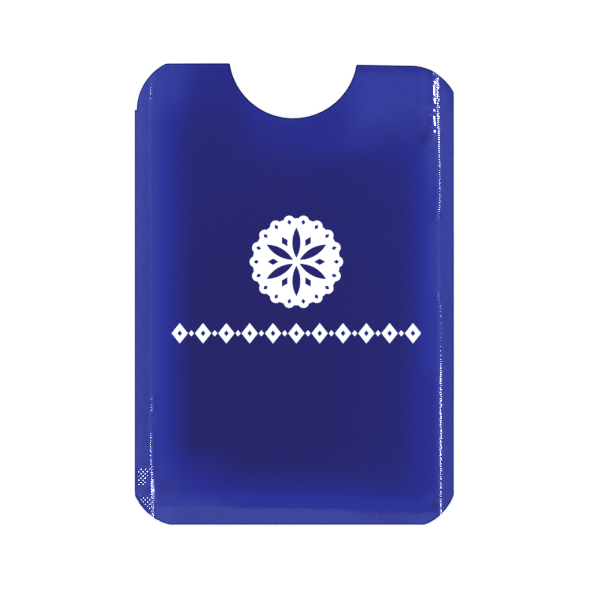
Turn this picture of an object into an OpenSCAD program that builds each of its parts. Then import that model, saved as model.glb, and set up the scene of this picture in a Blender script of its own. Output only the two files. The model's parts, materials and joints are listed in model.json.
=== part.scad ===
// Card sleeve: a flat pouch of printed film, aluminium foil and inner liner,
// welded along the left, right and bottom edges and open at the top.
// It lies on its back: +X to the right, +Y to the mouth, +Z out of the front.

/* [Sleeve] */
// Width of the sleeve over both welded edges
sleeve_w = 63; // [62:0.5:68]
// Height of the sleeve from the closed end to the mouth
sleeve_h = 91; // [89:0.5:96]
// How much lower the mouth edge is at its right end than at its middle
mouth_slant = 0.62; // [0:0.02:0.9]

/* [Welded edges] */
// Width of the weld along the left edge
left_seal_w = 3.4; // [2:0.1:4]
// Width of the weld along the right edge
right_seal_w = 3; // [2:0.1:4]
// Width of the weld along the closed end
bottom_seal_w = 3.4; // [2:0.1:5]
// Thickness of the fused layer between the two liners
weld_t = 0.04; // [0.03:0.01:0.08]

/* [Laminate] */
// Thickness of the outer printed film
film_t = 0.05; // [0.04:0.01:0.1]
// Thickness of the shielding foil
foil_t = 0.03; // [0.03:0.01:0.06]
// Thickness of the inner liner
liner_t = 0.08; // [0.05:0.01:0.12]
// Thickness of the ink on the front
ink_t = 0.03; // [0.02:0.01:0.05]

/* [Pocket] */
// Width of the steep step right inside each weld
root_w = 1.2; // [0.8:0.1:2]
// Height of that step on the front panel
front_root = 0.45; // [0.4:0.05:0.6]
// Height of that step on the back panel
back_root = 0.2; // [0.1:0.05:0.3]
// How much higher the flat middle of the front panel stands than the step
front_rise = 0.75; // [0.4:0.05:1.4]
// How much lower the flat middle of the back panel lies than the step
back_rise = 0.1; // [0.1:0.05:0.3]
// Width of the curved band inside each side weld
side_flank = 10; // [6:0.5:14]
// Width of the curved band above the bottom weld
end_flank = 12; // [8:0.5:16]
// Number of steps across each curved band
flank_steps = 9; // [6:1:12]
// Number of steps across each steep step
root_steps = 4; // [3:1:5]

/* [Thumb notch] */
// Radius of the thumb notch
notch_r = 12.7; // [10:0.1:14]
// Height of the notch centre above the mouth edge
notch_up = 1.9; // [0:0.1:4]
// Sideways offset of the notch from the middle
notch_off = -0.23; // [-1:0.01:1]

/* [Corners] */
// Radius of the corner punch
corner_r = 10; // [6:0.5:11]
// Top left punch: sideways shift from a true corner
tl_shift_x = 0.39; // [0:0.01:1.2]
// Top left punch: shift along the height from a true corner
tl_shift_y = 0.92; // [-1.2:0.01:1.2]
// Top right punch: sideways shift
tr_shift_x = 1.18; // [-1.2:0.01:1.2]
// Top right punch: shift along the height
tr_shift_y = -0.37; // [-1.2:0.01:1.2]
// Bottom left punch: sideways shift
bl_shift_x = -0.81; // [-1.2:0.01:1.2]
// Bottom left punch: shift along the height
bl_shift_y = -0.26; // [-1.2:0.01:1.2]
// Bottom right punch: sideways shift
br_shift_x = 0.62; // [-1.2:0.01:1.2]
// Bottom right punch: shift along the height
br_shift_y = -0.65; // [-1.2:0.01:1.2]

/* [Print] */
// Radius of the rosette
rosette_r = 9.2; // [6:0.1:10]
// Height of the rosette centre above the middle of the sleeve
rosette_y = 6.4; // [0:0.1:12]
// Height of the lozenge border's middle, measured the same way
border_y = -7.7; // [-12:0.1:-6]
// Height of one lozenge
lozenge_h = 4; // [2:0.1:5]
// Width of one lozenge
lozenge_w = 3.2; // [2:0.1:3.4]
// Distance from one lozenge to the next
lozenge_pitch = 4.6; // [4.4:0.1:4.8]
// Lozenges on each side of the middle one
lozenges_a_side = 5; // [2:1:5]
// Sideways offset of the print from the middle
print_off = 0.4; // [-1:0.1:1]

/* [Hidden] */
$fn = 96;

panel_t = film_t + foil_t + liner_t;
// pocket limits, which are the inner edges of the welds
pocket_l = -sleeve_w / 2 + left_seal_w;
pocket_r = sleeve_w / 2 - right_seal_w;
pocket_b = -sleeve_h / 2 + bottom_seal_w;
// heights of the laminate in the welded edges, from the back up
back_z = back_root + back_rise;
weld_z = back_z + panel_t;
front_z = weld_z + weld_t;
top_z = front_z + panel_t;

// distances from a weld's inner edge: fine steps up the steep step, then
// coarser ones over the curved band
function steps_in(w) = concat([for (i = [0 : root_steps]) root_w * i / root_steps],
                              [for (i = [1 : flank_steps]) root_w + (w - root_w) * i / flank_steps]);
// grid lines of the curved panels: one line past the outline at each side,
// the steps inside each weld, and one flat span between them
past = 1;
side_in = steps_in(side_flank);
grid_x = concat([-sleeve_w / 2 - past],
                [for (d = side_in) pocket_l + d],
                [for (i = [len(side_in) - 1 : -1 : 0]) pocket_r - side_in[i]],
                [sleeve_w / 2 + past]);
grid_y = concat([-sleeve_h / 2 - past],
                [for (d = steps_in(end_flank)) pocket_b + d],
                [sleeve_h / 2 + past]);

// rise of the steep step, from 0 at the weld to 1 at its top
function root(d) = d <= 0 ? 0 : d >= root_w ? 1 : pow(d / root_w, 2) * (3 - 2 * d / root_w);
// rise of a curved band, from 0 at the weld to 1 where the panel is flat
function band(d, w) = d <= 0 ? 0 : d >= w ? 1 : 1 - pow(1 - d / w, 2);
// distance to the nearer side weld
function from_side(x) = min(x - pocket_l, pocket_r - x);
// height over the welded edges at a place, for a step and a band of these heights
function lift(x, y, step, rise) = step * root(from_side(x)) * root(y - pocket_b)
    + rise * band(from_side(x), side_flank) * band(y - pocket_b, end_flank);

// a thin sheet that follows the panel: bottom at z0 and top at z1 in the
// welded edges, and step + rise higher where the panel is flat
module sheet(z0, z1, step, rise) {
    nx = len(grid_x);
    ny = len(grid_y);
    n = nx * ny;
    function at(i, j) = j * nx + i;
    low = [for (y = grid_y) for (x = grid_x) [x, y, z0 + lift(x, y, step, rise)]];
    high = [for (y = grid_y) for (x = grid_x) [x, y, z1 + lift(x, y, step, rise)]];
    cells = [for (j = [0 : ny - 2]) for (i = [0 : nx - 2]) [i, j]];
    polyhedron(
        points = concat(low, high),
        faces = concat(
            [for (c = cells) [at(c[0], c[1]), at(c[0] + 1, c[1]), at(c[0] + 1, c[1] + 1)]],
            [for (c = cells) [at(c[0], c[1]), at(c[0] + 1, c[1] + 1), at(c[0], c[1] + 1)]],
            [for (c = cells) [n + at(c[0], c[1]), n + at(c[0] + 1, c[1] + 1), n + at(c[0] + 1, c[1])]],
            [for (c = cells) [n + at(c[0], c[1]), n + at(c[0], c[1] + 1), n + at(c[0] + 1, c[1] + 1)]],
            [for (i = [0 : nx - 2]) [at(i, 0), n + at(i, 0), n + at(i + 1, 0), at(i + 1, 0)]],
            [for (i = [0 : nx - 2]) [at(i + 1, ny - 1), n + at(i + 1, ny - 1), n + at(i, ny - 1), at(i, ny - 1)]],
            [for (j = [0 : ny - 2]) [at(0, j + 1), n + at(0, j + 1), n + at(0, j), at(0, j)]],
            [for (j = [0 : ny - 2]) [at(nx - 1, j), n + at(nx - 1, j), n + at(nx - 1, j + 1), at(nx - 1, j + 1)]]),
        convexity = 4);
}

// what the corner punch takes off: everything outside its arc in one quadrant
module corner_cut(side, end, shift) {
    translate([side * (sleeve_w / 2 - corner_r) + shift[0],
               end * (sleeve_h / 2 - corner_r) + shift[1]])
        difference() {
            translate([side > 0 ? 0 : -corner_r - 4, end > 0 ? 0 : -corner_r - 4])
                square(corner_r + 4);
            circle(r = corner_r);
        }
}

// the sleeve seen from the front, with its notch and its four punched corners
module outline() {
    difference() {
        polygon([[-sleeve_w / 2, -sleeve_h / 2],
                 [sleeve_w / 2, -sleeve_h / 2],
                 [sleeve_w / 2, sleeve_h / 2 - mouth_slant],
                 [0, sleeve_h / 2],
                 [-sleeve_w / 2, sleeve_h / 2]]);
        translate([notch_off, sleeve_h / 2 + notch_up]) circle(r = notch_r);
        corner_cut(-1, 1, [tl_shift_x, tl_shift_y]);
        corner_cut(1, 1, [tr_shift_x, tr_shift_y]);
        corner_cut(-1, -1, [bl_shift_x, bl_shift_y]);
        corner_cut(1, -1, [br_shift_x, br_shift_y]);
    }
}

// one layer of a panel, cut to the outline
module ply(z0, z1, step, rise) {
    intersection() {
        sheet(z0, z1, step, rise);
        translate([0, 0, -1]) linear_extrude(6) outline();
    }
}

// a welded strip between the two liners
module weld(x0, x1, y0, y1) {
    translate([0, 0, weld_z])
        linear_extrude(weld_t)
            intersection() {
                outline();
                translate([x0, y0]) square([x1 - x0, y1 - y0]);
            }
}

// one petal of the rosette, pointing along +X, from two crossing arcs
module petal(r) {
    intersection() {
        translate([r / 2, r * sqrt(3) / 2]) circle(r = r);
        translate([r / 2, -r * sqrt(3) / 2]) circle(r = r);
    }
}

// a four-cornered diamond of this width and height
module diamond(w, h) {
    polygon([[-w / 2, 0], [0, -h / 2], [w / 2, 0], [0, h / 2]]);
}

// a scalloped disc with a six-petal daisy and two rings of diamonds left open
module rosette() {
    difference() {
        union() {
            circle(r = rosette_r * 0.93);
            for (k = [0 : 17]) rotate(20 * k)
                translate([rosette_r * 0.88, 0]) circle(r = rosette_r * 0.12, $fn = 32);
        }
        for (k = [0 : 5]) rotate(60 * k + 30)
            translate([rosette_r * 0.08, 0]) petal(rosette_r * 0.66);
        for (k = [0 : 5]) rotate(60 * k)
            translate([rosette_r * 0.5, 0]) diamond(rosette_r * 0.24, rosette_r * 0.14);
        for (k = [0 : 17]) rotate(20 * k)
            translate([rosette_r * 0.86, 0]) diamond(rosette_r * 0.12, rosette_r * 0.09);
    }
}

// one lozenge of the border, with a small diamond left open in it
module lozenge() {
    difference() {
        diamond(lozenge_w, lozenge_h);
        diamond(lozenge_w * 0.3, lozenge_h * 0.3);
    }
}

// a row of lozenges with a small diamond between each two
module border() {
    for (k = [-lozenges_a_side : lozenges_a_side])
        translate([k * lozenge_pitch, 0]) lozenge();
    for (k = [-lozenges_a_side : lozenges_a_side - 1])
        translate([(k + 0.5) * lozenge_pitch, 0]) diamond(lozenge_w * 0.32, lozenge_h * 0.3);
}

module front_film() { color("midnightblue") ply(top_z - film_t, top_z, front_root, front_rise); }
module front_foil() { color("silver") ply(front_z + liner_t, top_z - film_t, front_root, front_rise); }
module front_liner() { color("lightsteelblue") ply(front_z, front_z + liner_t, front_root, front_rise); }
module back_liner() { color("lightsteelblue") ply(weld_z - liner_t, weld_z, -back_root, -back_rise); }
module back_foil() { color("silver") ply(back_z + film_t, weld_z - liner_t, -back_root, -back_rise); }
module back_film() { color("midnightblue") ply(back_z, back_z + film_t, -back_root, -back_rise); }

module left_seal() {
    color("slateblue") weld(-sleeve_w / 2 - past, pocket_l, -sleeve_h / 2 - past, sleeve_h / 2 + past);
}
module right_seal() {
    color("slateblue") weld(pocket_r, sleeve_w / 2 + past, -sleeve_h / 2 - past, sleeve_h / 2 + past);
}
module bottom_seal() {
    color("slateblue") weld(pocket_l, pocket_r, -sleeve_h / 2 - past, pocket_b);
}

module front_print() {
    color("white")
        intersection() {
            sheet(top_z, top_z + ink_t, front_root, front_rise);
            translate([print_off, 0, -1]) linear_extrude(6) {
                translate([0, rosette_y]) rosette();
                translate([0, border_y]) border();
            }
        }
}

front_film();
front_foil();
front_liner();
back_liner();
back_foil();
back_film();
left_seal();
right_seal();
bottom_seal();
front_print();
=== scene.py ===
import json
import math

import bpy
import numpy as np
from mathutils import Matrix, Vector
from mathutils.geometry import delaunay_2d_cdt

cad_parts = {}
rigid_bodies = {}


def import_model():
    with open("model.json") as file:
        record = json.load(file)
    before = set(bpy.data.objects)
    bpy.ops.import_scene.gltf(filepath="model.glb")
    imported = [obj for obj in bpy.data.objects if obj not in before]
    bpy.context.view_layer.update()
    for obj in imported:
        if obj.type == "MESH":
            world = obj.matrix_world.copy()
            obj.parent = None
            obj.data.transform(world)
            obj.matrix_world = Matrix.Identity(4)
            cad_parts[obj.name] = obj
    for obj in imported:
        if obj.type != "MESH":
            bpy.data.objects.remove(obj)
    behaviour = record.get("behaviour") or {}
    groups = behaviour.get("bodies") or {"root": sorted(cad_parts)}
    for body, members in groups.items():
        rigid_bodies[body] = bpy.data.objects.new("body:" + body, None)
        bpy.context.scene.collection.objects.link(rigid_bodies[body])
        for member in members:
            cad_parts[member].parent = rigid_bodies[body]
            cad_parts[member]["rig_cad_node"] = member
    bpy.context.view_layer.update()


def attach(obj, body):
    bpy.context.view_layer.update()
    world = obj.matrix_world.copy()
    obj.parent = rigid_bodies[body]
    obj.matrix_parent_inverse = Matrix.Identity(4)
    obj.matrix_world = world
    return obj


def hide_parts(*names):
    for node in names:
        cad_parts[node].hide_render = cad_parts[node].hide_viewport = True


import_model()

# ---------------------------------------------------------------- measures
# All of the sleeve's own measures are in millimetres, as in its CAD source.
MM = 0.001
W, H = 63.0, 91.0
HW, HH = W / 2, H / 2
MOUTH_SLANT = 0.57
POCKET_L, POCKET_R, POCKET_B = -28.1, 28.5, -42.1
NOTCH_C, NOTCH_R = (-0.23, HH + 1.89), 12.68
CORNER_R = 10.0
TL_C = (-HW + CORNER_R + 0.39, HH - CORNER_R + 0.92)
TR_C = (HW - CORNER_R + 1.18, HH - CORNER_R - 0.37)
BL_C = (-HW + CORNER_R - 0.81, -HH + CORNER_R - 0.26)
BR_C = (HW - CORNER_R + 0.62, -HH + CORNER_R - 0.65)
FILM, FOIL, LINER, INK = 0.05, 0.03, 0.08, 0.03
# heights of the layers in the welded edges
BACK_FILM_Z, BACK_FOIL_Z, BACK_LINER_Z = 0.30, 0.35, 0.38
FRONT_LINER_Z, FRONT_FOIL_Z, FRONT_FILM_Z, TOP_Z = 0.50, 0.58, 0.61, 0.66
KNURL = 0.608                        # side of one knurl pyramid
ROW = KNURL / math.sqrt(2)           # distance between its rows


def ramp(v, a, b):
    """0 below a, 1 above b, and smooth between them."""
    t = np.clip((np.asarray(v, float) - a) / (b - a), 0, 1)
    return t * t * (3 - 2 * t)


def bump(v, centre, half):
    """1 at the centre, 0 beyond half of a width on either side."""
    t = np.clip(np.abs(np.asarray(v, float) - centre) / half, 0, 1)
    return (1 - t * t) ** 2


def lattice_noise(seed, n=64):
    return np.random.RandomState(seed).rand(n, n)


def noise(x, y, size, seed):
    """Smooth value noise from -1 to 1 with features of this size."""
    grid = lattice_noise(seed)
    n = grid.shape[0]
    u, v = np.asarray(x, float) / size + 17.3, np.asarray(y, float) / size + 9.1
    i, j = np.floor(u).astype(int), np.floor(v).astype(int)
    fu, fv = u - i, v - j
    fu, fv = fu * fu * (3 - 2 * fu), fv * fv * (3 - 2 * fv)
    at = lambda a, b: grid[a % n, b % n]
    return 2 * ((at(i, j) * (1 - fu) + at(i + 1, j) * fu) * (1 - fv)
                + (at(i, j + 1) * (1 - fu) + at(i + 1, j + 1) * fu) * fv) - 1


# ---------------------------------------------------------------- outline
def arc(c, r, a0, a1, step):
    n = max(2, int(math.ceil(abs(a1 - a0) * r / step)))
    return [(c[0] + r * math.cos(a0 + (a1 - a0) * k / n),
             c[1] + r * math.sin(a0 + (a1 - a0) * k / n)) for k in range(n)]


def line(a, b, step):
    n = max(1, int(math.ceil(math.dist(a, b) / step)))
    return [(a[0] + (b[0] - a[0]) * k / n, a[1] + (b[1] - a[1]) * k / n) for k in range(n)]


def mouth_y(x):
    return HH - MOUTH_SLANT * max(0.0, x) / HW


def angle(c, p):
    return math.atan2(p[1] - c[1], p[0] - c[0])


def on_slant(c, r, side):
    """Where the slanted right half of the mouth edge meets a circle."""
    k = -MOUTH_SLANT / HW
    a, b, d = 1 + k * k, 2 * (k * (HH - c[1]) - c[0]), c[0] ** 2 + (HH - c[1]) ** 2 - r * r
    x = (-b + side * math.sqrt(b * b - 4 * a * d)) / (2 * a)
    return (x, HH + k * x)


def outline(step):
    """The sleeve's outline as a closed anticlockwise row of points."""
    low = lambda c: math.sqrt(CORNER_R ** 2 - (HH + c[1]) ** 2)
    side = lambda c: math.sqrt(CORNER_R ** 2 - (HW - abs(c[0])) ** 2)
    bl_b, bl_l = (BL_C[0] - low(BL_C), -HH), (-HW, BL_C[1] - side(BL_C))
    br_b, br_r = (BR_C[0] + low(BR_C), -HH), (HW, BR_C[1] - side(BR_C))
    tr_r, tr_t = (HW, TR_C[1] + side(TR_C)), on_slant(TR_C, CORNER_R, 1)
    n_r = on_slant(NOTCH_C, NOTCH_R, 1)
    n_l = (NOTCH_C[0] - math.sqrt(NOTCH_R ** 2 - (HH - NOTCH_C[1]) ** 2), HH)
    tl_t = (TL_C[0] - math.sqrt(CORNER_R ** 2 - (HH - TL_C[1]) ** 2), HH)
    tl_l = (TL_C[0] - CORNER_R, TL_C[1])
    step_l = (-HW, TL_C[1])
    p = line(bl_b, br_b, step * 1.6)
    p += arc(BR_C, CORNER_R, angle(BR_C, br_b), angle(BR_C, br_r), step)
    p += line(br_r, tr_r, step)
    p += arc(TR_C, CORNER_R, angle(TR_C, tr_r), angle(TR_C, tr_t), step)
    p += line(tr_t, n_r, step * 1.6)
    p += arc(NOTCH_C, NOTCH_R, angle(NOTCH_C, n_r), angle(NOTCH_C, n_l) - 2 * math.pi
             if angle(NOTCH_C, n_l) > 0 else angle(NOTCH_C, n_l), step * 1.3)
    p += line(n_l, tl_t, step * 1.6)
    p += arc(TL_C, CORNER_R, angle(TL_C, tl_t), math.pi, step)
    p += line(tl_l, step_l, step) + line(step_l, bl_l, step)
    a0, a1 = angle(BL_C, bl_l), angle(BL_C, bl_b)
    p += arc(BL_C, CORNER_R, a0, a1, step)
    return np.array(p)


def inside(x, y):
    """Distance to the outline from inside it, and below 0 outside."""
    x, y = np.asarray(x, float), np.asarray(y, float)
    d = np.minimum(np.minimum(x + HW, HW - x), y + HH)
    slant = math.hypot(1, MOUTH_SLANT / HW)
    d = np.minimum(d, np.minimum(HH - y, (HH - MOUTH_SLANT * x / HW - y) / slant))
    d = np.minimum(d, np.hypot(x - NOTCH_C[0], y - NOTCH_C[1]) - NOTCH_R)
    for c, sx, sy in ((TL_C, -1, 1), (TR_C, 1, 1), (BL_C, -1, -1), (BR_C, 1, -1)):
        corner = ((x - c[0]) * sx > 0) & ((y - c[1]) * sy > 0)
        d = np.where(corner, np.minimum(d, CORNER_R - np.hypot(x - c[0], y - c[1])), d)
    # the little step that the top left punch leaves in the left edge
    near = np.hypot(np.maximum(0, x - (TL_C[0] - CORNER_R)), y - TL_C[1])
    return np.where(y <= TL_C[1], np.minimum(d, near), d)


# ---------------------------------------------------------------- the panels' form
def steep(t, a=0.18, b=0.36):
    """0 to 1 over t from 0 to 1, with an even slope between a and 1 - b."""
    t = np.clip(t, 0, 1)
    area = 1 - a / 2 - b / 2
    up = np.where(t < a, t * t / (2 * a), t - a / 2)
    over = np.clip(t - (1 - b), 0, b)
    return (up - over * over / (2 * b)) / area


def band(d, w, p):
    return 1 - (1 - np.clip(d / w, 0, 1)) ** p


def along(y, table):
    """Values along the sleeve, from pairs of a height and a value."""
    t = np.array(sorted(table))
    return np.interp(np.asarray(y, float), t[:, 0], t[:, 1])


# How much of a weld's inner edge is creased sharply, and where the crease runs.
RIGHT_SHARE = [(-46, 0.9), (-42, 0.8), (-40, 0.72), (-38, 0.85), (-35, 0.92), (-20, 1.0), (-17, 0.95), (-15, 0.8),
               (-13, 0.6), (-11, 0.42), (-8.5, 0.3), (-6.5, 0.1), (-4, 0.38), (-1.5, 0.2), (0.2, 0.05), (1.0, 0),
               (14.5, 0), (15.5, 0.15), (17, 0.40), (28, 0.42), (29.5, 0.6), (33, 0.82), (36, 1.0), (46, 1.0)]
RIGHT_AT = [(-46, 28.97), (-22, 28.99), (-15, 28.98), (-10, 28.94), (0, 28.87), (16, 28.76), (25, 28.70), (30.4, 28.57), (35, 28.46),
            (40, 28.34), (46, 28.30)]
LEFT_SHARE = [(-46, 1.0), (-38, 1.0), (-36.5, 0.8), (-35, 0.6), (-33, 0.45), (-28.6, 0.30), (-26.6, 0), (-23.8, 0),
              (-22.4, 0.12), (-20.8, 0.10), (-19.2, 0), (38.0, 0), (38.5, 0.10), (41.0, 0.10), (41.5, 0)]
LEFT_AT = [(-46, -28.00), (-38.5, -28.02), (-36.5, -28.12), (-33, -28.30), (-28, -28.42), (0, -28.2),
           (38, -28.45), (46, -28.3)]
# How much of the fold beside the right weld stands up, near the mouth.
FOLD_SHARE = [(31.0, 0), (32.2, 0.35), (35.0, 0.5), (38.5, 0.7), (39.8, 0.95), (42.6, 1.0), (46, 1.0)]
# How far above or below the bottom weld's nominal edge the panel leaves it.
FOOT_EDGE = [(-32, 0.10), (-14.6, 0.07), (1.2, -0.42), (12, -0.62), (21, -1.10), (24.5, -0.95), (27.5, -0.45),
             (32, -0.4)]


def crease_step(d, y, edge, rise, sag, share, at, detail, seed):
    """The step beside a side weld: its share of the rise, its height, and how
    far it runs on through the bottom weld."""
    s = along(y, share)
    g, broad = ramp(s, 0.0, 0.08), ramp(s, 0.55, 1.0)
    s = np.clip(s + 0.22 * noise(0 * y, y, 0.55, seed + 30) * g, 0, 1)
    high = rise + 0.18 * broad
    calm = ramp(y, -3.5, 2.5) * (1 - ramp(y, 12.5, 18.5)) if edge > 0 else ramp(y, -30, -24) * (1 - ramp(y, 34, 40))
    at_d = edge * ((POCKET_R if edge > 0 else POCKET_L) - along(y, at)) + (0.55 if edge > 0 else 0.15) * calm
    root = 0.35 - 0.17 * broad
    slope = 0.23 + 0.43 * g + sag + 0.13 * g * (1 - ramp(at_d, -0.15, 0.10))
    if edge < 0:
        slope = slope + 0.09 * ramp(-y, 36.0, 37.5)
    width = high / slope / (0.925 - root / 2)
    # the middle of its even slope lies on the crease
    shift = (0.34 + 0.10 * g + 0.05 * broad) * width - at_d
    shift = shift + 0.03 * noise(0 * y, y, 1.7, seed) * g
    if detail:
        beat = 2 * math.pi * (y + 0.06 * noise(0 * y, y, 1.0, seed + 50)) / ROW
        tooth = ramp(0.5 - 0.5 * np.cos(beat), 0.55 * s, 0.55 * s + 0.40)
        teeth = g * (0.5 - 0.36 * s)
        width = width * (1 + teeth * tooth)
        shift = shift + 0.16 * teeth * tooth
    return steep((d + shift) / width, 0.15, root), high, ramp(s, 0.3, 0.8) * (1 - ramp(d, 0.35, 5.5))


def front_form(x, y, detail=False):
    """Height of the front panel over its welded edges."""
    x, y = np.asarray(x, float), np.asarray(y, float)
    dl, dr, db = x - POCKET_L, POCKET_R - x, y - POCKET_B
    # beside each side weld a step, then a curved band
    sag_l = 0.071 * np.clip((y - 33.5) / 12.0, 0, 1) ** 2 + 0.036 * np.clip(1 - db / 8.0, 0, 1) ** 2
    sag_r = 0.111 * np.clip((y - 24.0) / 21.0, 0, 1) ** 1.5
    # (where the bottom weld holds the panel down, its own slope is missing)
    rb = steep((db - along(x, FOOT_EDGE) + 0.15) / 2.7, 0.10, 0.5)
    rl, hl, on_l = crease_step(dl, y, -1, 0.34, sag_l + 0.14 * (1 - rb), LEFT_SHARE, LEFT_AT, detail, 7)
    rr, hr, on_r = crease_step(dr, y, 1, 0.34, sag_r + 0.14 * (1 - rb), RIGHT_SHARE, RIGHT_AT, detail, 5)
    side = np.where(x < 0, hl, hr)
    z = side * rl * rr * np.maximum(rb, np.where(x < 0, on_l, on_r))
    z = z + (0.45 - side) * rb * ramp(np.minimum(dl, dr), 0.4, 3.4)
    z = z + 0.24 * rb * band(dl, 8, 2) * band(dr, 8, 2)
    narrow = 9.5 - 2.2 * bump(y, -3.0, 26.0)
    bl = band(dl, 10, 2)
    br = 0.42 * band(dr, narrow, 2.8) + 0.58 * (np.clip(dr, 0, 24) - np.clip(dr, 0, 24) ** 4 / (4 * 24.0 ** 3)) / 18.0
    bb = band(db, 11.5, 2.7)
    z = z + 0.49 * bl * br * bb
    lf = np.clip(dl / 4.5, 0, 1)
    rf = np.clip(dr / 4.5, 0, 1)
    # the panel dips to the thumb notch
    dn = np.hypot(x - NOTCH_C[0], y - NOTCH_C[1]) - NOTCH_R
    part = 0.30 + 0.70 * ramp(x, -12.6, -4.7)
    z = z - 0.29 * part * (1 - np.clip(dn / 12.0, 0, 1)) ** 2 * lf * rf
    # and droops at the two mouth corners
    v = np.clip((y - 33.5) / 12.0, 0, 1)
    u = np.clip((-x - 11) / 17, 0, 1)
    z = z - 0.32 * v * v * u * lf
    v = np.clip((y - 24.0) / 21.0, 0, 1) ** 0.75
    u = ramp(x, 5.0, 15.0) * 0.8 + 0.2 * np.clip((x - 9) / 15, 0, 1)
    z = z - 0.50 * v * v * u * rf
    # and at the bottom left
    z = z - 0.16 * rb * (1 - np.clip(db / 8.0, 0, 1)) ** 2 * ramp(-x, 7.0, 16.0) * lf
    # a low crease runs along the mouth edge at the right
    lip = HH - MOUTH_SLANT * np.clip(x, 0, HW) / HW - y
    z = z + 0.035 * bump(lip, -0.2, 1.9) * ramp(x, 10.5, 13.5) * rf
    # gentle unevenness of the loose film
    flat = np.clip(dl / 8, 0, 1) * np.clip(dr / 8, 0, 1) * np.clip(db / 8, 0, 1)
    z = z + flat * (0.016 * noise(x, y, 14.0, 1) + 0.004 * noise(x, y, 5.0, 2))
    return z


def back_form(x, y):
    """Height of the back panel over its welded edges, which is below them."""
    x, y = np.asarray(x, float), np.asarray(y, float)
    dl, dr, db = x - POCKET_L, POCKET_R - x, y - POCKET_B
    z = -0.20 * steep(dl / 1.2) * steep(dr / 1.2) * steep(db / 1.2)
    return z - 0.10 * band(dl, 10, 2) * band(dr, 10, 2) * band(db, 12, 2)


def tri(t):
    """A triangle wave from -1 to 1 with slightly rounded tips."""
    return 2 / math.pi * np.arcsin(0.985 * np.sin(2 * math.pi * t))


def knurl(x, y):
    """Pyramids whose faces look along X and Y."""
    u, v = (x + y) / math.sqrt(2), (x - y) / math.sqrt(2)
    return tri(u / KNURL) + tri(v / KNURL)


def weld_share(x, y):
    """1 in the welded edges, 0 in the pocket."""
    x, y = np.asarray(x, float), np.asarray(y, float)
    d = np.minimum(np.minimum(x - POCKET_L, POCKET_R + 0.15 - x), y - POCKET_B)
    return 1 - ramp(d, -0.12, 0.02)


def knurl_patch(x, y):
    """1 in the two patches at the bottom left where the knurl is deep."""
    return ramp(-x, 27.9, 28.2) * np.maximum(
        ramp(-y, 33.6, 34.6) * (1 - ramp(-y, 37.6, 38.6)) * ramp(-x - 0.35 * (-y - 33), 27.2, 28.2),
        ramp(-y, 38.9, 40.2))


def crumpled(x, y):
    """How deep the fine crumples are beside the two strongest creases."""
    low = 0.026 * ramp(-y, 36.8, 38.0) * bump(x, -27.60, 0.95)
    high = 0.030 * ramp(y, 33.0, 36.0) * bump(x, 28.62, 0.50)
    return low + high + 0.032 * ramp(-y, 14.0, 18.0) * bump(x, 29.12, 0.50)


def front_skin(x, y):
    """Fine relief of the front film's outer face."""
    x, y = np.asarray(x, float), np.asarray(y, float)
    z = np.zeros_like(x)
    side = 1 - ramp(np.minimum(x - POCKET_L, POCKET_R + 0.25 - x), -0.25, -0.05)
    low = 1 - ramp(y - POCKET_B, -0.3, 0.0)
    # the jaws' knurl is faint over most of the welds
    faint = 0.0022 * (1 + 0.4 * noise(x, y, 6.0, 3))
    z = z + faint * np.maximum(side, low * 0.7) * knurl(x, y)
    # and deep at the bottom left corner, in two patches
    patch = knurl_patch(x, y)
    z = z + patch * (0.0383 + 0.0035 * noise(x, y, 0.7, 8)) * knurl(x, y)
    # folds beside the right weld's inner edge near the mouth
    stand = along(y, FOLD_SHARE)
    lumpy = noise(x * 0.5 + y * 0.9, y * 0.2, 0.75, 21)
    x0 = 27.66 + 0.10 * noise(0 * y, y, 1.4, 23) + 0.05 * lumpy
    fold = ramp(y, 27.6, 32.8) * (1 - 0.22 * ramp(x, x0 - 1.1, x0 - 0.5) * (1 - ramp(lumpy + 2.4 * stand - 1.2, -0.30, 0.10)))
    z = z + (0.37 + 0.035 * ramp(y, 37.0, 39.0)) * fold * ramp(x, x0 - 3.6, x0 - 0.26) * (1 - steep((x - x0 + 0.33) / 0.64, 0.12, 0.22))
    # a second crease beside the left weld's at the bottom
    beat = 2 * math.pi * (y + 0.10 * noise(0 * y, y, 0.9, 63)) / ROW
    second = 0.092 + 0.012 * np.cos(beat) + 0.012 * noise(x * 0.3, y, 0.5, 65)
    z = z + second * ramp(-y, 37.2, 38.4) * bump(x, -27.42 + 0.05 * noise(0 * y, y, 1.5, 67), 0.36)
    # the film is crumpled along the two strongest creases
    z = z + crumpled(x, y) * noise(x, y, 0.23, 61)
    # fine creases where the bottom weld begins
    crease = np.exp(-((y - POCKET_B - 0.15 - 0.12 * noise(x, 0 * y, 2.3, 31)) / 0.10) ** 2)
    crease = crease - 0.5 * np.exp(-((y - POCKET_B + 0.42 - 0.12 * noise(x, 0 * y, 1.7, 33)) / 0.09) ** 2)
    z = z + 0.002 * crease * ramp(noise(x, 0 * y, 3.5, 35) + 0.5 * ramp(x, 4, 8), -0.1, 0.4) \
        * ramp(x, -26, -24) * (1 - ramp(x, 25.5, 27.0))
    return z


def back_skin(x, y):
    """Fine relief of the back film's outer face."""
    return -0.0045 * weld_share(x, y) * (1 + 0.4 * noise(x, y, 6.0, 4)) * knurl(x, y)


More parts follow.
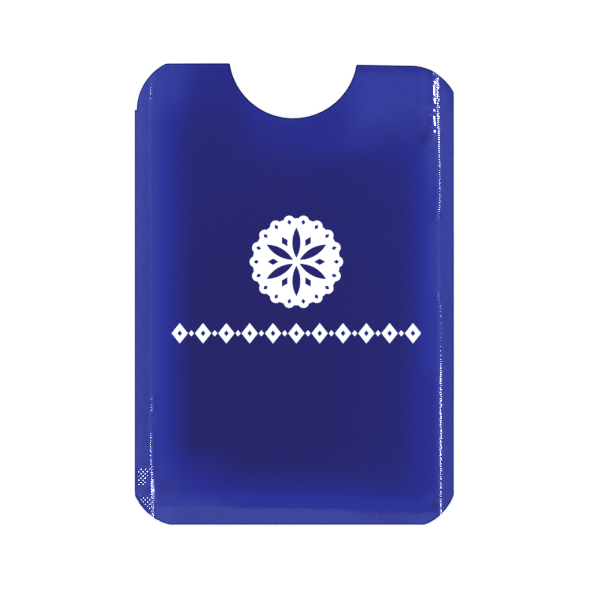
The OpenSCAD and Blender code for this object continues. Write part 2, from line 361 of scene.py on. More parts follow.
def haze_and_painted_sheen(x, y):
    """How milky the clear film has gone from the heat: 1 in the welds, fading inside. On top of that heat haze it
    carries painted sheen: lighter mouth corners as painted reflection, a painted highlight streak and painted shade
    lines.
    """
    x, y = np.asarray(x, float), np.asarray(y, float)
    dl, dr, db = x - POCKET_L, POCKET_R - x, y - POCKET_B
    # the fade from the welds inward is partly heat haze and partly painted sheen over the step
    left = 0.08 * (1 - np.clip(dl / 3.4, 0, 1)) ** 1.2
    left = left + (0.82 + 0.36 * np.clip(-dl / 2.4, 0, 1) - left) * (1 - ramp(dl, -0.70, 0.30))
    right = 0.06 * (1 - np.clip(dr / 3.0, 0, 1)) ** 1.4
    # painted reflection: a lighter band inside the right weld towards the mouth
    upper = ramp(y, 14.0, 27.0) * (1 - ramp(y, 34.0, 40.0))
    right = right + 0.48 * upper * (1 - ramp(dr, 0.8, 2.0 + 3.6 * ramp(y, 18.0, 30.0)))
    right = right + (0.98 - right) * (1 - ramp(dr, -0.8, 1.0))
    west, east = 1 - ramp(x, -18.5, -9.0), ramp(x, 8.0, 18.0)
    d = db - along(x, FOOT_EDGE) + 0.10 * noise(x, 0 * y, 3.0, 54)
    inner = (0.10 + 0.75 * west) * (1 - np.clip(d / (0.8 + 2.8 * west), 0, 1)) ** 1.4
    foot = inner + (1.24 - 0.20 * east - inner) * ramp(-d, -0.35, 0.40 + 0.2 * east)
    h = np.maximum(np.maximum(left, right), foot)
    # the two mouth corners are painted lighter as well: a painted reflection
    tr = ramp(x, 6.5, 15.5) * ramp(y + 0.7 * noise(x, y, 4.0, 52) - 0.12 * (x - 18), 26.5, 36.5)
    lip = HH - MOUTH_SLANT * np.clip(x, 0, HW) / HW - y
    tr = tr * (0.60 + 0.40 * ramp(lip, 0.6, 1.9))
    # painted shade: the mouth's right corner is kept darker near its edge
    corner = ramp(x, 18.5, 23.0) * ramp(y, 33.0, 38.0) * (1 - ramp(inside(x, y), 0.4, 2.0))
    tr = tr * (1 - 0.75 * corner)
    # painted highlight: a pale streak along the crease under the mouth's right half
    streak = bump(lip - 1.55 + 0.10 * (x - 15), 0, 0.42) * ramp(x, 14.0, 16.0) * (1 - ramp(x, 23.0, 24.5))
    tr = 0.57 * tr + 0.13 * streak
    tl = ramp(-x - 0.20 * (HH - y), 17.2, 24.0) * ramp(y, 32.5, 41.0)
    h = h * (1 - 0.30 * corner) + (tr + 0.52 * tl) * (1 - np.clip(h, 0, 1))
    # lighter at the two bottom corners
    bl = bump(np.hypot(x + 27.5, y + 41.5), 0, 11.0)
    h = np.maximum(h, 0.68 * bl)
    h = np.maximum(h, 0.42 * bump(np.hypot(x - 27.5, y + 41.3), 0, 3.2))
    # a painted highlight line just before the bottom weld, and a painted shade line behind it
    pale = 0.22 * bump(y, -42.50, 0.35) - 0.12 * bump(y, -42.90, 0.28)
    h = h + pale * ramp(x, -8.0, 0.0) * (1 - ramp(x, 26.5, 28.0)) * (0.8 + 0.4 * noise(x, 0 * y, 2.0, 55))
    return np.clip(h * (1 + 0.05 * noise(x, y, 3.0, 51)) + 0.035 * noise(x, y, 9.0, 53) * (h > 0.4), 0, 1.25) / 1.25


def painted_blue_sheen(x, y):
    """Where the clear film is painted a lighter blue as a painted reflection: inside the bottom left corner, and below
    the mouth's right half."""
    x, y = np.asarray(x, float), np.asarray(y, float)
    low = bump(np.hypot((x + 19.0) / 9.0, (y + 34.0) / 5.6), 0, 1.0)
    return np.clip(low + 0.5 * bump(np.hypot((x - 9.5) / 13.0, (y - 30.0) / 4.8), 0, 1.0), 0, 1)


def crazed(x, y):
    """1 where the metal layer is crushed by a crease or by the knurl, so that
    only the clear face over it shines."""
    x, y = np.asarray(x, float), np.asarray(y, float)
    near = lambda at, share: ramp(along(y, share), 0.0, 0.12) * np.exp(-((x - along(y, at)) / 0.42) ** 2)
    fold = ramp(y, 31.0, 32.2) * np.exp(-((x - 27.66) / 0.36) ** 2)
    both = np.maximum(near(RIGHT_AT, RIGHT_SHARE), near(LEFT_AT, LEFT_SHARE))
    both = np.maximum(both, ramp(crumpled(x, y), 0.0, 0.03))
    return np.clip(np.maximum(np.maximum(both, fold), 0.8 * knurl_patch(x, y)), 0, 1)


# ---------------------------------------------------------------- meshing
STEP = 0.15
RIM = 0.25


def cut_edge(points):
    """The outline as it is really cut: a little ragged at the welded edges."""
    p = points.copy()
    q = np.roll(p, -1, 0) - np.roll(p, 1, 0)
    inward = np.stack([-q[:, 1], q[:, 0]], 1) / np.hypot(q[:, 0], q[:, 1])[:, None]
    x, y = p[:, 0], p[:, 1]
    run = np.cumsum(np.hypot(*(p - np.roll(p, 1, 0)).T))
    teeth = 0.5 + 0.5 * np.cos(2 * math.pi * run / ROW)
    rough = 0.5 + 0.5 * noise(run, 0 * run, 0.35, 41)
    right = ramp(x, 31.3, 31.45) * (0.022 + 0.050 * ramp(np.abs(y + 4), 14, 20))
    bl = ramp(-x, 24.0, 26.0) * ramp(-y, 38.5, 40.0)
    depth = right * teeth * (0.4 + 0.6 * rough) - 0.04 - 0.015 * ramp(y, 44.4, 44.9) + 0.03 * bl * rough + 0.09 * bl * teeth * rough * ramp(-x, 26.5, 28.0)
    depth += 0.13 * bump(np.hypot(x + 26.83, y + 44.68), 0, 0.26)
    sharp = np.zeros(len(p), bool)
    turn = np.abs(np.cross(p - np.roll(p, 1, 0), np.roll(p, -1, 0) - p))
    sharp = turn > 0.25 * STEP * STEP
    depth[sharp] = 0
    return p + inward * depth[:, None], inward, sharp


EDGE0 = outline(STEP)
EDGE, INWARD, SHARP = cut_edge(EDGE0)
N_EDGE = len(EDGE)


def lattice(x0, x1, y0, y1, dx, dy, keep=None):
    xs = np.arange(x0 + dx / 2, x1, dx)
    ys = np.arange(y0 + dy / 2, y1, dy)
    gx, gy = np.meshgrid(xs, ys)
    p = np.stack([gx.ravel(), gy.ravel()], 1)
    return p if keep is None else p[keep(p[:, 0], p[:, 1])]


def triangulate(free, loops=(), closed=None):
    """Triangles over the free points and the closed loops of points."""
    pts, edges = [], []
    for loop in loops:
        n0 = len(pts)
        pts += [Vector((float(a), float(b))) for a, b in loop]
        edges += [(n0 + k, n0 + (k + 1) % len(loop)) for k in range(len(loop))]
    pts += [Vector((float(a), float(b))) for a, b in free]
    out, _, faces, ids, _, _ = delaunay_2d_cdt(pts, edges, [], 0, 1e-6, True)
    place = np.array([[v.x, v.y] for v in out])
    back = np.array([i[0] if i else -1 for i in ids])
    tris = np.array([f for f in faces if len(f) == 3])
    if (back < 0).any():
        raise RuntimeError("the loops cross")
    full = np.array([[v.x, v.y] for v in pts])
    tris = back[tris]
    a, b, c = full[tris[:, 0]], full[tris[:, 1]], full[tris[:, 2]]
    area = np.cross(b - a, c - a) / 2
    tris = np.where((area < 0)[:, None], tris[:, ::-1], tris)
    mid = (a + b + c) / 3
    thin = np.abs(area) <= 4e-6
    keep = ~thin & closed(mid[:, 0], mid[:, 1])
    # three points in a row on a loop make a thin triangle, which belongs to the
    # side where it closes the gap between the loop and the kept triangles
    used = {}
    for t in tris[keep].tolist():
        for k in range(3):
            used[(t[k], t[(k + 1) % 3])] = True
    ring = {}
    for a0, b0 in edges:
        ring[(a0, b0)] = ring[(b0, a0)] = True
    todo, more = tris[thin].tolist(), []
    for _ in range(6):
        left = []
        for t in todo:
            sides = [(t[k], t[(k + 1) % 3]) for k in range(3)]
            inner = [e for e in sides if e not in ring]
            for way in (t, t[::-1]):
                turned = [(way[k], way[(k + 1) % 3]) for k in range(3)]
                open_in = [e for e in turned if (e[1], e[0]) in used and (e[0], e[1]) not in used and e not in ring]
                if inner and open_in and not any(e in used for e in turned):
                    more.append(way)
                    for e in turned:
                        used[e] = True
                    break
            else:
                left.append(t)
        todo = left
    tris = np.concatenate([tris[keep], np.array(more, tris.dtype).reshape(-1, 3)])
    return full, tris


def in_loops(loops):
    """A test for points inside an even-odd set of loops."""
    def test(x, y):
        odd = np.zeros(len(x), bool)
        for loop in loops:
            a = np.asarray(loop)
            b = np.roll(a, -1, 0)
            for (x0, y0), (x1, y1) in zip(a, b):
                if y0 == y1:
                    continue
                hit = ((y0 > y) != (y1 > y))
                if hit.any():
                    cross = x0 + (y - y0) * (x1 - x0) / (y1 - y0)
                    odd ^= hit & (x < cross)
        return odd
    return test


IN_EDGE = in_loops([EDGE])


def panel_points(fine):
    """Free points over the outline, fine where the outer face has relief."""
    rings = []
    for r, every in ((RIM, 1), (RIM * 2, 2)):
        q = (EDGE + INWARD * r)[::every]
        rings.append(q[inside(q[:, 0], q[:, 1]) > 0.86 * r - 0.055])
    far = lambda x, y: inside(x, y) > RIM * 2 + 0.09
    left_in, right_in = POCKET_L + 1.3, POCKET_R - 1.3
    # rectangles with their own spacing, the first of those that overlap winning
    if fine:
        yb = POCKET_B + 0.6
        zones = [(-HW, -27.3, -HH, -32.6, 0.072, 0.066),
                 (-28.7, -27.5, -32.6, -18.8, 0.090, 0.054), (-28.7, -27.5, 37.0, 42.4, 0.090, 0.054),
                 (POCKET_R - 0.75, POCKET_R + 0.50, -HH, -10.0, 0.086, 0.060),
                 (POCKET_R - 0.60, POCKET_R + 0.45, -10.0, 15.0, 0.095, 0.075),
                 (POCKET_R - 0.60, POCKET_R + 0.45, 15.0, 32.0, 0.086, 0.054),
                 (26.85, POCKET_R + 0.45, 31.0, HH, 0.082, 0.060),
                 (-HW, -27.5, -32.6, HH, 0.16, 0.16), (-27.5, left_in, yb, HH, 0.18, 0.35),
                 (POCKET_R + 0.45, HW, -HH, HH, 0.16, 0.16),
                 (right_in, POCKET_R, yb, HH, 0.18, 0.35),
                 (-27.5, POCKET_R, -HH, yb, 0.18, 0.15)]
    else:
        yb = POCKET_B + 1.3
        zones = [(-HW, left_in, -HH, HH, 0.18, 0.8), (right_in, HW, -HH, HH, 0.18, 0.8),
                 (left_in, right_in, -HH, yb, 0.8, 0.22)]
    # the pocket's flanks and its flat middle
    zones += [(left_in, left_in + 9, yb, HH, 0.6, 0.7), (right_in - 9, right_in, yb, HH, 0.6, 0.7),
              (left_in + 9, right_in - 9, yb, HH, 0.8, 0.7)]
    parts = []
    for k, (x0, x1, y0, y1, dx, dy) in enumerate(zones):
        q = lattice(x0, x1, y0, y1, dx, dy, far)
        for u0, u1, v0, v1, du, dv in zones[:k]:
            q = q[~((q[:, 0] > u0 - 0.4 * du) & (q[:, 0] < u1 + 0.4 * du)
                    & (q[:, 1] > v0 - 0.4 * dv) & (q[:, 1] < v1 + 0.4 * dv))]
        parts.append(q)
    return np.concatenate(rings + parts)


def plain_points():
    return panel_points(False)


_tri = {}


def panel_mesh(kind):
    if kind not in _tri:
        _tri[kind] = triangulate(panel_points(kind == "fine"), [EDGE], IN_EDGE)
    return _tri[kind]


def new_object(name, verts, faces, mats, face_mat=None, sharp_pairs=None):
    """A smooth-shaded object from millimetre points, with its sharp edges marked."""
    me = bpy.data.meshes.new(name)
    tri_like = isinstance(faces, np.ndarray)
    me.from_pydata([tuple(v) for v in (np.asarray(verts) * MM)], [],
                   faces.tolist() if tri_like else faces)
    me.validate()
    me.polygons.foreach_set("use_smooth", np.ones(len(me.polygons), bool))
    for m in mats:
        me.materials.append(m)
    if face_mat is not None:
        me.polygons.foreach_set("material_index", np.asarray(face_mat, np.int32))
    if sharp_pairs is not None:
        ev = np.empty(len(me.edges) * 2, np.int64)
        me.edges.foreach_get("vertices", ev)
        ev = np.sort(ev.reshape(-1, 2), 1)
        big = len(verts) + 1
        wanted = np.sort(np.asarray(sharp_pairs), 1)
        mark = np.isin(ev[:, 0] * big + ev[:, 1], wanted[:, 0] * big + wanted[:, 1])
        attr = me.attributes.new("sharp_edge", "BOOLEAN", "EDGE")
        attr.data.foreach_set("value", mark)
    me.update()
    o = bpy.data.objects.new(name, me)
    bpy.context.scene.collection.objects.link(o)
    return o


def solid(name, top, low, z_top, z_low, n_loop, loops, mats, pick=None):
    """A closed solid between two triangulated sheets that share their loops."""
    (pt, ft), (pl, fl) = top, low
    zt, zl = z_top(pt[:, 0], pt[:, 1]), z_low(pl[:, 0], pl[:, 1])
    verts = np.concatenate([np.column_stack([pt, zt]), np.column_stack([pl, zl])])
    n = len(pt)
    walls, pairs = [], []
    for start, count in loops:
        k = np.arange(count)
        a, b = start + k, start + (k + 1) % count
        walls.append(np.stack([n + a, n + b, b], 1))
        walls.append(np.stack([n + a, b, a], 1))
        pairs += [np.stack([a, b], 1), np.stack([n + a, n + b], 1)]
    walls = np.concatenate(walls)
    faces = np.concatenate([ft, fl[:, ::-1] + n, walls])
    kind = np.zeros(len(faces), np.int32)
    if pick is not None:
        kind = pick(verts, faces, len(ft), len(fl))
    return new_object(name, verts, faces, mats, kind, np.concatenate(pairs))


# ---------------------------------------------------------------- materials
def material(name):
    m = bpy.data.materials.new(name)
    m.use_nodes = True
    nt = m.node_tree
    return m, nt, nt.nodes["Principled BSDF"]


def node(nt, kind, **values):
    n = nt.nodes.new(kind)
    for k, v in values.items():
        if k in n.inputs:
            n.inputs[k].default_value = v
        else:
            setattr(n, k, v)
    return n


def noise_node(nt, coord, scale, detail=2.0, rough=0.5, stretch=None):
    n = node(nt, "ShaderNodeTexNoise", Scale=scale, Detail=detail, Roughness=rough)
    if stretch:
        mp = node(nt, "ShaderNodeMapping")
        mp.inputs["Scale"].default_value = stretch
        nt.links.new(coord, mp.inputs["Vector"])
        coord = mp.outputs["Vector"]
    nt.links.new(coord, n.inputs["Vector"])
    return n.outputs["Fac"]


def two_colours(nt, fac, a, b, lo=0.3, hi=0.7):
    r = nt.nodes.new("ShaderNodeValToRGB")
    r.color_ramp.elements[0].position, r.color_ramp.elements[1].position = lo, hi
    r.color_ramp.elements[0].color = (*a, 1)
    r.color_ramp.elements[1].color = (*b, 1)
    nt.links.new(fac, r.inputs["Fac"])
    return r.outputs["Color"]


def range_of(nt, fac, lo, hi, a=0.0, b=1.0):
    n = node(nt, "ShaderNodeMapRange")
    n.inputs["From Min"].default_value, n.inputs["From Max"].default_value = a, b
    n.inputs["To Min"].default_value, n.inputs["To Max"].default_value = lo, hi
    nt.links.new(fac, n.inputs["Value"])
    return n.outputs["Result"]


def bump_node(nt, height, strength, distance, normal=None):
    n = node(nt, "ShaderNodeBump", Strength=strength, Distance=distance)
    nt.links.new(height, n.inputs["Height"])
    if normal is not None:
        nt.links.new(normal, n.inputs["Normal"])
    return n.outputs["Normal"]


def coords(nt):
    return nt.nodes.new("ShaderNodeTexCoord").outputs["Object"]


def mix_by(nt, fac, a, b):
    n = nt.nodes.new("ShaderNodeMix")
    n.data_type = "RGBA"
    nt.links.new(fac, n.inputs[0])
    for i, c in ((6, a), (7, b)):
        if isinstance(c, tuple):
            n.inputs[i].default_value = (*c, 1)
        else:
            nt.links.new(c, n.inputs[i])
    return n.outputs[2]


def value_of(nt, name):
    n = nt.nodes.new("ShaderNodeAttribute")
    n.attribute_name = name
    return n.outputs["Fac"]


# clear glossy film over a blue metallised layer, milky where the heat has been, with painted sheen and shade carried
# by the same haze value, and a painted lighter blue
film_mat, nt, b = material("printed_film_gloss")
co = coords(nt)
mottle = noise_node(nt, co, 2000, 3, 0.6)
clear = two_colours(nt, mottle, (0.0024, 0.0096, 0.222), (0.0044, 0.0131, 0.272))
light = two_colours(nt, mottle, (0.0060, 0.0165, 0.310), (0.0085, 0.0205, 0.372))
# painted reflection: the film is mixed to a lighter blue where the lighter-blue value is set
clear = mix_by(nt, value_of(nt, "painted_blue_sheen"), clear, light)
# the milky colour is the heat-hazed film's, and also the colour of the painted sheen
milky_and_painted_sheen = two_colours(nt, mottle, (0.0325, 0.0485, 0.262), (0.0490, 0.0675, 0.314))
crushed = two_colours(nt, mottle, (0.0190, 0.0320, 0.290), (0.0280, 0.0430, 0.345))
# seen at a low angle the metal stays blue, because the film over it is dyed
b.inputs["Specular Tint"].default_value = (0.28, 0.34, 0.70, 1)
b.inputs["Metallic"].default_value = 1.0
nt.links.new(mix_by(nt, value_of(nt, "crazed"), mix_by(nt, value_of(nt, "haze_and_painted_sheen"), clear, milky_and_painted_sheen), crushed),
             b.inputs["Base Color"])
def sum_of(nt, a, b, op="ADD"):
    n = nt.nodes.new("ShaderNodeMath")
    n.operation = op
    nt.links.new(a, n.inputs[0])
    nt.links.new(b, n.inputs[1])
    return n.outputs[0]


dull = sum_of(nt, range_of(nt, value_of(nt, "haze_and_painted_sheen"), 0.17, 0.48),
              range_of(nt, noise_node(nt, co, 260, 2), -0.02, 0.02))
rest = range_of(nt, value_of(nt, "crazed"), 1.0, 0.0)
nt.links.new(sum_of(nt, sum_of(nt, dull, rest, "MULTIPLY"), range_of(nt, value_of(nt, "crazed"), 0.0, 0.85)),
             b.inputs["Roughness"])
b.inputs["Coat Weight"].default_value = 1.0
b.inputs["Coat Roughness"].default_value = 0.045
b.inputs["Coat IOR"].default_value = 1.5
# fine grain of the metal layer, and the clear film's orange peel over it
nt.links.new(bump_node(nt, noise_node(nt, co, 2600, 2, 0.6), 0.15, 0.00001), b.inputs["Normal"])
nt.links.new(bump_node(nt, noise_node(nt, co, 700, 2, 0.45), 0.30, 0.0000025), b.inputs["Coat Normal"])

# the rolled, cut edge, painted dark as shade along the outline, darker at the mouth than along the welds
painted_shade_rim_mat, nt, b = material("printed_film_cut_edge_painted_shade")
co = coords(nt)
speck = noise_node(nt, co, 1500, 2)
nt.links.new(mix_by(nt, value_of(nt, "haze_and_painted_sheen"), two_colours(nt, speck, (0.0003, 0.0003, 0.018), (0.0006, 0.0005, 0.026)),
                    two_colours(nt, speck, (0.0090, 0.0100, 0.175), (0.0120, 0.0130, 0.205))),
             b.inputs["Base Color"])
nt.links.new(range_of(nt, noise_node(nt, co, 800), 0.5, 0.65), b.inputs["Roughness"])
nt.links.new(bump_node(nt, noise_node(nt, co, 2500, 2), 0.3, 0.00001), b.inputs["Normal"])
b.inputs["Specular IOR Level"].default_value = 0.04

foil_mat, nt, b = material("shield_foil_rolled")
co = coords(nt)
roll = noise_node(nt, co, 500, 3, 0.6, (1.0, 0.04, 1.0))
nt.links.new(two_colours(nt, roll, (0.80, 0.81, 0.83), (0.88, 0.89, 0.91)), b.inputs["Base Color"])
b.inputs["Metallic"].default_value = 1.0
nt.links.new(range_of(nt, roll, 0.18, 0.30), b.inputs["Roughness"])
nt.links.new(bump_node(nt, roll, 0.25, 0.00001), b.inputs["Normal"])

liner_mat, nt, b = material("inner_liner_satin")
co = coords(nt)
cloud = noise_node(nt, co, 220, 3, 0.6)
nt.links.new(two_colours(nt, cloud, (0.66, 0.68, 0.71), (0.76, 0.78, 0.81)), b.inputs["Base Color"])
b.inputs["Metallic"].default_value = 0.75
nt.links.new(range_of(nt, cloud, 0.34, 0.46), b.inputs["Roughness"])
b.inputs["Coat Weight"].default_value = 0.5
b.inputs["Coat Roughness"].default_value = 0.18
nt.links.new(bump_node(nt, noise_node(nt, co, 900, 3), 0.25, 0.00001), b.inputs["Normal"])

seal_mat, nt, b = material("seal_fused")
co = coords(nt)
melt = noise_node(nt, co, 700, 3, 0.6)
nt.links.new(two_colours(nt, melt, (0.60, 0.62, 0.67), (0.74, 0.76, 0.80)), b.inputs["Base Color"])
nt.links.new(range_of(nt, melt, 0.35, 0.55), b.inputs["Roughness"])
nt.links.new(bump_node(nt, melt, 0.4, 0.00002), b.inputs["Normal"])

ink_mat, nt, b = material("white_ink_screened")
co = coords(nt)
nt.links.new(two_colours(nt, noise_node(nt, co, 1200, 2), (0.95, 0.95, 0.955), (0.98, 0.98, 0.985)),
             b.inputs["Base Color"])
nt.links.new(range_of(nt, noise_node(nt, co, 900, 2), 0.34, 0.46), b.inputs["Roughness"])
nt.links.new(bump_node(nt, noise_node(nt, co, 1400, 3), 0.25, 0.000008), b.inputs["Normal"])

floor_mat, nt, b = material("floor_white")
co = coords(nt)
nt.links.new(two_colours(nt, noise_node(nt, co, 30, 2), (0.315, 0.315, 0.315), (0.325, 0.325, 0.325)),
             b.inputs["Base Color"])
b.inputs["Roughness"].default_value = 0.9
b.inputs["Specular IOR Level"].default_value = 0.1
b.inputs["Emission Color"].default_value = (1, 1, 1, 1)
b.inputs["Emission Strength"].default_value = 0.73

# ---------------------------------------------------------------- the film, foil and liner of each panel
ROLL = 0.030


def rolled(x, y):
    """How far the cut edge is rolled down, from 0 inside to ROLL at the edge."""
    return ROLL * (1 - np.clip(inside(x, y) / (RIM * 1.6), 0, 1)) ** 2


def pick_film(outer_top):
    """Faces of the film: 0 its two sides, 1 the rolled rim and walls, painted dark as shade."""
    def pick(verts, faces, n_top, n_low):
        mid = verts[faces].mean(1)
        d = inside(mid[:, 0], mid[:, 1])
        at = np.arange(len(faces))
        outer = at < n_top if outer_top else (at >= n_top) & (at < n_top + n_low)
        return ((outer & (d < RIM * 0.99)) | (at >= n_top + n_low)).astype(np.int32)
    return pick


def add_values(o):
    """Give each point its share of haze and painted sheen, of crazing and of painted lighter blue."""
    co = np.empty(len(o.data.vertices) * 3, np.float32)
    o.data.vertices.foreach_get("co", co)
    co = co.reshape(-1, 3).astype(float) / MM
    front = co[:, 2] > 0.5
    for name, value in (("haze_and_painted_sheen", haze_and_painted_sheen(co[:, 0], co[:, 1])), ("crazed", crazed(co[:, 0], co[:, 1]) * front),
                        ("painted_blue_sheen", painted_blue_sheen(co[:, 0], co[:, 1]))):
        attr = o.data.attributes.new(name, "FLOAT", "POINT")
        attr.data.foreach_set("value", np.asarray(value, np.float32))
    return o


def z_front(base, relief=False):
    def at(x, y):
        z = base + front_form(x, y, relief)
        if relief:
            z = z + front_skin(x, y) - rolled(x, y)
        return z
    return at


def z_back(base, relief=False):
    def at(x, y):
        z = base + back_form(x, y)
        if relief:
            z = z + back_skin(x, y) + 0.6 * rolled(x, y)
        return z
    return at


fine, plain = panel_mesh("fine"), panel_mesh("plain")
LOOPS = [(0, N_EDGE)]
pieces = []


def add(o, node_name):
    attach(o, "root")
    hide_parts(node_name)
    pieces.append(o)
    return o


add(add_values(solid("front_film_panel", fine, plain, z_front(TOP_Z, True), z_front(FRONT_FILM_Z),
                     N_EDGE, LOOPS, [film_mat, painted_shade_rim_mat], pick_film(True))), "front_film")
add(solid("front_foil_panel", plain, plain, z_front(FRONT_FILM_Z), z_front(FRONT_FOIL_Z),
          N_EDGE, LOOPS, [foil_mat]), "front_foil")
add(solid("front_liner_panel", plain, plain, z_front(FRONT_FOIL_Z), z_front(FRONT_LINER_Z),
          N_EDGE, LOOPS, [liner_mat]), "front_liner")
add(solid("back_liner_panel", plain, plain, z_back(BACK_LINER_Z + LINER), z_back(BACK_LINER_Z),
          N_EDGE, LOOPS, [liner_mat]), "back_liner")
add(solid("back_foil_panel", plain, plain, z_back(BACK_LINER_Z), z_back(BACK_FOIL_Z),
          N_EDGE, LOOPS, [foil_mat]), "back_foil")
add(add_values(solid("back_film_panel", plain, fine, z_back(BACK_FOIL_Z), z_back(BACK_FILM_Z, True),
                     N_EDGE, LOOPS, [film_mat, painted_shade_rim_mat], pick_film(False))), "back_film")

# ---------------------------------------------------------------- the print
PRINT_OFF, ROSETTE_Y, BORDER_Y, ROS = 0.4, 6.4, -7.7, 9.2


def turned(points, deg, dx=0.0, dy=0.0):
    a = math.radians(deg)
    return [(dx + x * math.cos(a) - y * math.sin(a), dy + x * math.sin(a) + y * math.cos(a)) for x, y in points]


def diamond(w, h, cx=0.0, cy=0.0, per=0.25):
    corners = [(w / 2, 0), (0, h / 2), (-w / 2, 0), (0, -h / 2)]
    out = []
    for k in range(4):
        out += line(corners[k], corners[(k + 1) % 4], per)
    return [(cx + x, cy + y) for x, y in out]


def petal(r, per=0.2):
    c0, c1 = (r / 2, r * math.sqrt(3) / 2), (r / 2, -r * math.sqrt(3) / 2)
    return arc(c0, r, math.radians(240), math.radians(300), per) + \
        arc(c1, r, math.radians(60), math.radians(120), per)


def scalloped(per=0.2):
    disc, at, r = ROS * 0.93, ROS * 0.88, ROS * 0.12
    half = math.acos((disc ** 2 + at ** 2 - r * r) / (2 * disc * at))
    out = []
    for k in range(18):
        a = math.radians(20 * k)
        c = (at * math.cos(a), at * math.sin(a))
        p0 = (disc * math.cos(a - half), disc * math.sin(a - half))
        p1 = (disc * math.cos(a + half), disc * math.sin(a + half))
        a0, a1 = angle(c, p0), angle(c, p1)
        while a1 < a0:
            a1 += 2 * math.pi
        while a1 - a0 > 2 * math.pi:
            a1 -= 2 * math.pi
        out += arc(c, r, a0, a1, per)
        out += arc((0, 0), disc, a + half, math.radians(20 * (k + 1)) - half, per)
    return out


loops = [[(x + PRINT_OFF, y + ROSETTE_Y) for x, y in scalloped()]]
for k in range(6):
    loops.append(turned([(x + ROS * 0.08, y) for x, y in petal(ROS * 0.66)], 60 * k + 30, PRINT_OFF, ROSETTE_Y))
    loops.append(turned(diamond(ROS * 0.24, ROS * 0.14, ROS * 0.5), 60 * k, PRINT_OFF, ROSETTE_Y))
for k in range(18):
    loops.append(turned(diamond(ROS * 0.12, ROS * 0.09, ROS * 0.86), 20 * k, PRINT_OFF, ROSETTE_Y))
for k in range(-5, 6):
    loops.append(diamond(3.2, 4.0, PRINT_OFF + 4.6 * k, BORDER_Y))
    loops.append(diamond(3.2 * 0.3, 4.0 * 0.3, PRINT_OFF + 4.6 * k, BORDER_Y, 0.2))
for k in range(-5, 5):
    loops.append(diamond(3.2 * 0.32, 4.0 * 0.3, PRINT_OFF + 4.6 * (k + 0.5), BORDER_Y, 0.2))


def gap_to(loops, p):
    """Distance from each point to the nearest point of the loops."""
    q = np.concatenate([np.asarray(l) for l in loops])
    best = np.full(len(p), 9e9)
    for s in range(0, len(q), 400):
        d = np.hypot(p[:, None, 0] - q[None, s:s + 400, 0], p[:, None, 1] - q[None, s:s + 400, 1])
        best = np.minimum(best, d.min(1))
    return best


in_print = in_loops(loops)
free = lattice(-24.8, 25.6, -10.2, 16.2, 0.5, 0.5, in_print)
free = free[gap_to(loops, free) > 0.22]
sheet = triangulate(free, loops, in_print)


def area_of(loop):
    a = np.asarray(loop)
    b = np.roll(a, -1, 0)
    return float(np.sum(a[:, 0] * b[:, 1] - a[:, 1] * b[:, 0]) / 2)


def depth_of(i):
    """How many other loops hold this loop."""
    p = np.asarray(loops[i])[:1]
    n = 0
    for j, other in enumerate(loops):
        if j != i and in_loops([other])(p[:, 0], p[:, 1])[0]:
            n += 1
    return n


def print_solid():
    pts, tris = sheet
    z = front_form(pts[:, 0], pts[:, 1])
    n = len(pts)
    n_loop = sum(len(l) for l in loops)
    # the ink's edge is a little thinner than its middle
    thick = np.full(n, INK)
    thick[:n_loop] = INK * 0.55
    verts = np.concatenate([np.column_stack([pts, TOP_Z + z + thick]),
                            np.column_stack([pts, TOP_Z + z - 0.004])])
    walls, pairs, start = [], [], 0
    for i, loop in enumerate(loops):
        m = len(loop)
        k = np.arange(m)
        a, b = start + k, start + (k + 1) % m
        if (area_of(loop) > 0) != (depth_of(i) % 2 == 0):
            a, b = b, a
        walls += [np.stack([n + a, n + b, b], 1), np.stack([n + a, b, a], 1)]
        pairs += [np.stack([a, b], 1), np.stack([n + a, n + b], 1)]
        start += m
    faces = np.concatenate([tris, tris[:, ::-1] + n] + walls)
    return new_object("front_print_ink", verts, faces, [ink_mat], None, np.concatenate(pairs))


add(print_solid(), "front_print")

# the welds keep their CAD shape
for name in ("left_seal", "right_seal", "bottom_seal"):
    for o in bpy.context.scene.objects:
        if o.get("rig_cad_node") == name or o.name == name:
            for s in o.material_slots:
                s.material = seal_mat
            if not o.material_slots:
                o.data.materials.append(seal_mat)

# ---------------------------------------------------------------- floor
me = bpy.data.meshes.new("floor")
r = 3.0
me.from_pydata([(-r, -r, -0.00002), (r, -r, -0.00002), (r, r, -0.00002), (-r, r, -0.00002)], [], [(0, 1, 2, 3)])
floor = bpy.data.objects.new("floor", me)
me.materials.append(floor_mat)
bpy.context.scene.collection.objects.link(floor)

# ---------------------------------------------------------------- studio
world = bpy.data.worlds.new("studio")
bpy.context.scene.world = world
world.use_nodes = True
nt = world.node_tree
nt.nodes.clear()
direction = nt.nodes.new("ShaderNodeTexCoord").outputs["Generated"]
sep = nt.nodes.new("ShaderNodeSeparateXYZ")
nt.links.new(direction, sep.inputs[0])
DX, DY, DZ = sep.outputs


def math_node(op, *args):
    n = nt.nodes.new("ShaderNodeMath")
    n.operation = op
    for i, a in enumerate(args):
        if isinstance(a, (int, float)):
            n.inputs[i].default_value = a
        else:
            nt.links.new(a, n.inputs[i])
    return n.outputs[0]


def smooth_node(v, a, b):
    n = nt.nodes.new("ShaderNodeMapRange")
    n.interpolation_type = "SMOOTHSTEP"
    n.inputs["From Min"].default_value, n.inputs["From Max"].default_value = a, b
    nt.links.new(v, n.inputs["Value"])
    return n.outputs["Result"]


def mix_node(fac, a, b):
    n = nt.nodes.new("ShaderNodeMix")
    n.data_type = "RGBA"
    nt.links.new(fac, n.inputs[0])
    for i, c in ((6, a), (7, b)):
        if isinstance(c, tuple):
            n.inputs[i].default_value = (*c, 1)
        else:
            nt.links.new(c, n.inputs[i])
    return n.outputs[2]


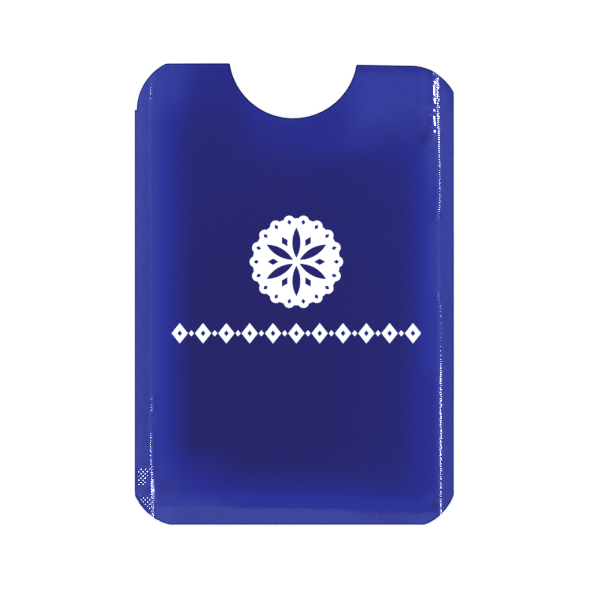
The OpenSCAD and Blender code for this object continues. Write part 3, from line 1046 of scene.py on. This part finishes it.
# a soft dome that is dim straight above, where the camera is
ox = math_node("SUBTRACT", DX, -0.0223)
oy = math_node("SUBTRACT", DY, -0.0175)
oy_up = math_node("MULTIPLY", oy, math_node("ADD", 1.0, math_node("MULTIPLY", 0.25, smooth_node(oy, 0.0, 0.02))))
dist = math_node("SQRT", math_node("ADD", math_node("POWER", ox, 2.0), math_node("POWER", oy_up, 2.0)))
dome = nt.nodes.new("ShaderNodeValToRGB")
dome.color_ramp.interpolation = "LINEAR"
STOPS = [(0.0, (0.49, 0.37, 0.32)), (0.066, (0.50, 0.40, 0.44)), (0.156, (0.54, 0.50, 0.76)),
         (0.244, (0.57, 0.62, 1.08)), (0.33, (0.60, 0.69, 1.17)), (0.41, (0.71, 0.80, 1.17)),
         (0.50, (0.84, 0.90, 1.18)), (0.74, (0.80, 0.86, 1.17)), (0.985, (0.76, 0.80, 0.90)),
         (1.0, (0.40, 0.40, 0.42))]
cr = dome.color_ramp
while len(cr.elements) < len(STOPS):
    cr.elements.new(0.5)
for e, (p, c) in zip(cr.elements, STOPS):
    e.position = p
    e.color = (*[v / 2 for v in c], 1)
nt.links.new(dist, dome.inputs["Fac"])
sky = dome.outputs["Color"]
# towards the foot of the sleeve the dome stays dimmer
foot = smooth_node(math_node("SUBTRACT", math_node("MULTIPLY", DY, -1.0),
                             math_node("MULTIPLY", math_node("ABSOLUTE", DX), 0.8)), 0.05, 0.25)
foot = math_node("MULTIPLY", foot, math_node("SUBTRACT", 1.0, smooth_node(dist, 0.93, 0.995)))
foot = math_node("MULTIPLY", foot, smooth_node(dist, 0.28, 0.40))
sky = mix_node(foot, sky, (0.30, 0.345, 0.555))
below = smooth_node(DZ, -0.02, 0.02)
sky = mix_node(below, (0.45, 0.45, 0.45), sky)
bg = nt.nodes.new("ShaderNodeBackground")
nt.links.new(sky, bg.inputs["Color"])
bg.inputs["Strength"].default_value = 2.0
out = nt.nodes.new("ShaderNodeOutputWorld")
nt.links.new(bg.outputs[0], out.inputs[0])


def lamp(name, polar, azimuth, radiance, across, along, dist=1.0):
    """A soft box that shines at the sleeve; sizes are angles in degrees."""
    a, e = math.radians(azimuth), math.radians(polar)
    d = Vector((math.cos(a) * math.sin(e), math.sin(a) * math.sin(e), math.cos(e)))
    sx, sy = 2 * dist * math.tan(math.radians(across) / 2), 2 * dist * math.tan(math.radians(along) / 2)
    li = bpy.data.lights.new(name, "AREA")
    li.shape = "RECTANGLE"
    li.size, li.size_y = sx, sy
    li.energy = radiance * math.pi * sx * sy
    o = bpy.data.objects.new(name, li)
    o.location = d * dist
    o.rotation_mode = "QUATERNION"
    o.rotation_quaternion = (-d).to_track_quat("-Z", "Y")
    o.visible_camera = False
    bpy.context.scene.collection.objects.link(o)
    return o


lamp("strip_right", 80, 0, 50, 20, 5.5, 3.0)
lamp("strip_left", 80, 180, 50, 20, 5.5, 3.0)
lamp("strip_top", 35, 96, 60, 6.5, 6.5, 3.0)

# ---------------------------------------------------------------- camera
DIST = 0.5
cam = bpy.data.cameras.new("camera")
cam.sensor_width = 36.0
cam.lens = 36.0 * DIST * 1000 / 118.44
cam.clip_start, cam.clip_end = 0.01, 10.0
camera = bpy.data.objects.new("camera", cam)
camera.location = (1.115 * MM, -1.135 * MM, DIST + 0.0012)
camera.rotation_euler = (0, 0, 0)
bpy.context.scene.collection.objects.link(camera)
bpy.context.scene.camera = camera
scene = bpy.context.scene
scene.view_settings.view_transform = "Standard"
scene.cycles.use_denoising = False
scene.cycles.sample_clamp_indirect = 1.5
scene.view_settings.look = "None"
scene.view_settings.exposure = 0.0
scene.view_settings.gamma = 1.0

for o in pieces:
    print(o.name, len(o.data.polygons), "faces")
